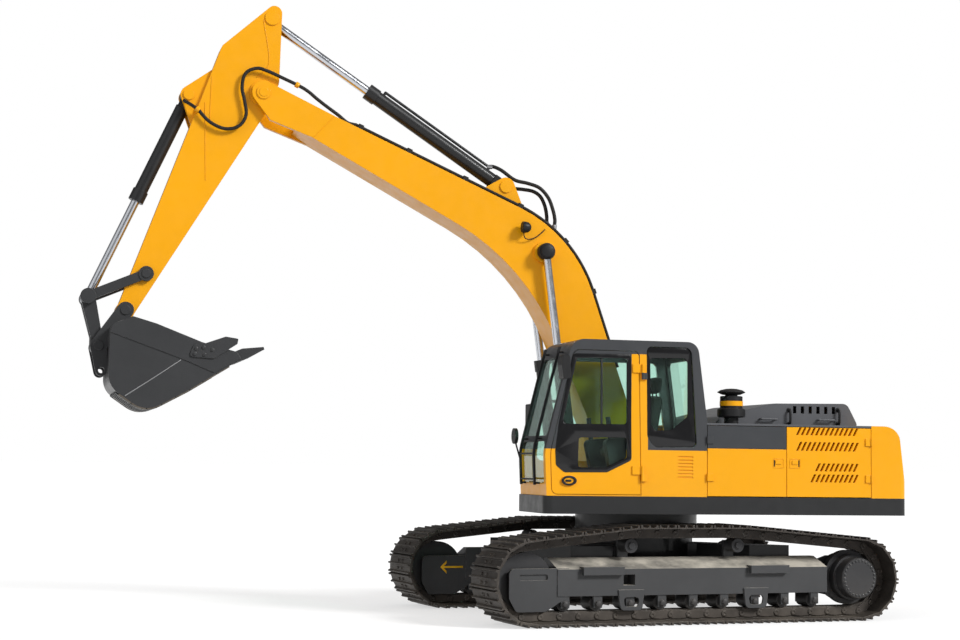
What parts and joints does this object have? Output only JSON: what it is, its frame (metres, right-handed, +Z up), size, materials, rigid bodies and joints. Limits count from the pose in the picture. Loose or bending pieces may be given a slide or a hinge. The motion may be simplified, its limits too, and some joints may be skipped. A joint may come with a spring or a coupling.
{
  "type": "crawler excavator",
  "caption": "Crawler excavator with a swinging upper structure, a cab, an engine house and a hinged boom, arm and bucket worked by hydraulic cylinders",
  "frame": {"origin": "on the floor under the middle of the whole machine", "axes": "+X forward along the boom, +Y to the left, +Z up; the tracks stand turned 7.2 degrees under the upper structure"},
  "size_m": [9.2496, 3.868, 6.6265],
  "materials": {
    "yellow_paint": "semi-gloss yellow paint",
    "grey_paint": "satin dark grey paint",
    "track_steel": "dark worn track steel",
    "rod_chrome": "polished chrome",
    "window_glass": "green tinted glass",
    "black_plastic": "matte black",
    "seat_fabric": "dark woven cloth",
    "engine_iron": "dark painted iron",
    "bare_steel": "oiled bare steel"
  },
  "bodies": {
    "undercarriage": {"lower_frame": "grey_paint", "slew_ring": "bare_steel", "track_frame_left": "grey_paint", "track_frame_right": "grey_paint", "track_left": "track_steel", "track_right": "track_steel", "final_drive_left": "grey_paint", "final_drive_right": "grey_paint", "rollers_left": "grey_paint", "rollers_right": "grey_paint"},
    "house": {"deck": "grey_paint", "skirts": "grey_paint", "counterweight": "yellow_paint", "engine_block": "engine_iron", "house_frame": "grey_paint", "right_tanks": "yellow_paint", "tool_box": "yellow_paint", "precleaner": "black_plastic", "exhaust_pipe": "black_plastic", "handrails": "black_plastic", "cab_shell": "grey_paint", "cab_glass": "window_glass", "seat_chair": "seat_fabric", "consoles": "black_plastic", "mirrors": "black_plastic"},
    "hood_body": {"engine_hood": "grey_paint"},
    "cab_door_body": {"cab_door": "yellow_paint", "door_glass": "window_glass"},
    "service_door_body": {"service_door_left": "yellow_paint"},
    "cooler_door_body": {"cooler_door_left": "yellow_paint"},
    "pump_door_body": {"pump_door_right": "yellow_paint"},
    "boom_body": {"boom": "yellow_paint", "boom_lamp": "black_plastic", "boom_pipes": "black_plastic"},
    "boom_barrel_left_body": {"boom_barrel_left": "grey_paint"},
    "boom_barrel_right_body": {"boom_barrel_right": "grey_paint"},
    "boom_rod_left_body": {"boom_rod_left": "rod_chrome"},
    "boom_rod_right_body": {"boom_rod_right": "rod_chrome"},
    "arm_barrel_body": {"arm_barrel": "grey_paint"},
    "arm_rod_body": {"arm_rod": "rod_chrome"},
    "arm_body": {"arm": "yellow_paint"},
    "bucket_barrel_body": {"bucket_barrel": "grey_paint"},
    "bucket_rod_body": {"bucket_rod": "rod_chrome"},
    "side_links_body": {"side_links": "grey_paint"},
    "h_link_body": {"h_link": "grey_paint"},
    "bucket_body": {"bucket": "grey_paint"}
  },
  "joints": [
    {"name": "swing", "type": "hinge", "parent": "undercarriage", "child": "house", "pos_m": [-1.63978, 0, 1.1], "axis": [0, 0, 1], "continuous": true},
    {"name": "boom_raise", "type": "hinge", "parent": "house", "child": "boom_body", "pos_m": [-1.47378, 0, 1.816], "axis": [0, -1, 0], "range_deg": [-75, 25]},
    {"name": "arm_swing", "type": "hinge", "parent": "boom_body", "child": "arm_body", "pos_m": [2.74955, 0, 5.64548], "axis": [0, -1, 0], "range_deg": [-50, 62]},
    {"name": "bucket_tilt", "type": "hinge", "parent": "arm_body", "child": "bucket_body", "pos_m": [4.15278, 0, 3.22478], "axis": [0, -1, 0], "range_deg": [-32, 105]},
    {"name": "boom_barrel_left_turn", "type": "hinge", "parent": "house", "child": "boom_barrel_left_body", "pos_m": [-0.81478, 0.345, 1.268], "axis": [0, -1, 0], "range_deg": [-72.2, 24.2]},
    {"name": "boom_rod_left_slide", "type": "slide", "parent": "boom_barrel_left_body", "child": "boom_rod_left_body", "axis": [0.1342, 0, 0.991], "range_m": [-0.95857, 0.32152]},
    {"name": "boom_barrel_right_turn", "type": "hinge", "parent": "house", "child": "boom_barrel_right_body", "pos_m": [-0.81478, -0.345, 1.268], "axis": [0, -1, 0], "range_deg": [-72.2, 24.2]},
    {"name": "boom_rod_right_slide", "type": "slide", "parent": "boom_barrel_right_body", "child": "boom_rod_right_body", "axis": [0.1342, 0, 0.991], "range_m": [-0.95857, 0.32152]},
    {"name": "arm_barrel_turn", "type": "hinge", "parent": "boom_body", "child": "arm_barrel_body", "pos_m": [-0.02171, 0, 4.77006], "axis": [0, -1, 0], "range_deg": [-4.45, 5.47]},
    {"name": "arm_rod_slide", "type": "slide", "parent": "arm_barrel_body", "child": "arm_rod_body", "axis": [0.8422, 0, 0.5392], "range_m": [-0.77779, 0.62783]},
    {"name": "bucket_barrel_turn", "type": "hinge", "parent": "arm_body", "child": "bucket_barrel_body", "pos_m": [3.54049, 0, 5.59308], "axis": [0, -1, 0], "range_deg": [-1.8, 5.45]},
    {"name": "bucket_rod_slide", "type": "slide", "parent": "bucket_barrel_body", "child": "bucket_rod_body", "axis": [0.4098, 0, -0.9122], "range_m": [-0.65357, 0.20127]},
    {"name": "side_links_turn", "type": "hinge", "parent": "arm_body", "child": "side_links_body", "pos_m": [3.94777, 0, 3.62031], "axis": [0, -1, 0], "range_deg": [-20.04, 65.3]},
    {"name": "h_link_turn", "type": "hinge", "parent": "bucket_body", "child": "h_link_body", "pos_m": [4.41978, 0, 2.84279], "axis": [0, -1, 0], "range_deg": [-78.95, 24.2]},
    {"name": "cab_door_open", "type": "hinge", "parent": "house", "child": "cab_door_body", "pos_m": [-1.19978, 1.437, 2.1], "axis": [0, 0, 1], "range_deg": [0, 170]},
    {"name": "service_door_open", "type": "hinge", "parent": "house", "child": "service_door_body", "pos_m": [-1.94378, 1.431, 1.7], "axis": [0, 0, 1], "range_deg": [-110, 0]},
    {"name": "cooler_door_open", "type": "hinge", "parent": "house", "child": "cooler_door_body", "pos_m": [-3.86578, 1.431, 1.7], "axis": [0, 0, -1], "range_deg": [-110, 0]},
    {"name": "pump_door_open", "type": "hinge", "parent": "house", "child": "pump_door_body", "pos_m": [-3.86578, -1.431, 1.7], "axis": [0, 0, 1], "range_deg": [-110, 0]},
    {"name": "hood_open", "type": "hinge", "parent": "house", "child": "hood_body", "pos_m": [-3.97978, 0, 2.136], "axis": [0, -1, 0], "range_deg": [0, 60]}
  ],
  "couplings": [
    {"joint": "boom_barrel_left_turn", "follows": "boom_raise", "ratio": 0.96},
    {"joint": "boom_rod_left_slide", "follows": "boom_raise", "m_per_rad": 0.73},
    {"joint": "boom_barrel_right_turn", "follows": "boom_raise", "ratio": 0.96},
    {"joint": "boom_rod_right_slide", "follows": "boom_raise", "m_per_rad": 0.73},
    {"joint": "arm_barrel_turn", "follows": "arm_swing", "ratio": 0.085},
    {"joint": "arm_rod_slide", "follows": "arm_swing", "m_per_rad": -0.716},
    {"joint": "bucket_barrel_turn", "follows": "bucket_tilt", "ratio": 0.05},
    {"joint": "bucket_rod_slide", "follows": "bucket_tilt", "m_per_rad": -0.355},
    {"joint": "side_links_turn", "follows": "bucket_tilt", "ratio": 0.62},
    {"joint": "h_link_turn", "follows": "bucket_tilt", "ratio": -0.75}
  ]
}
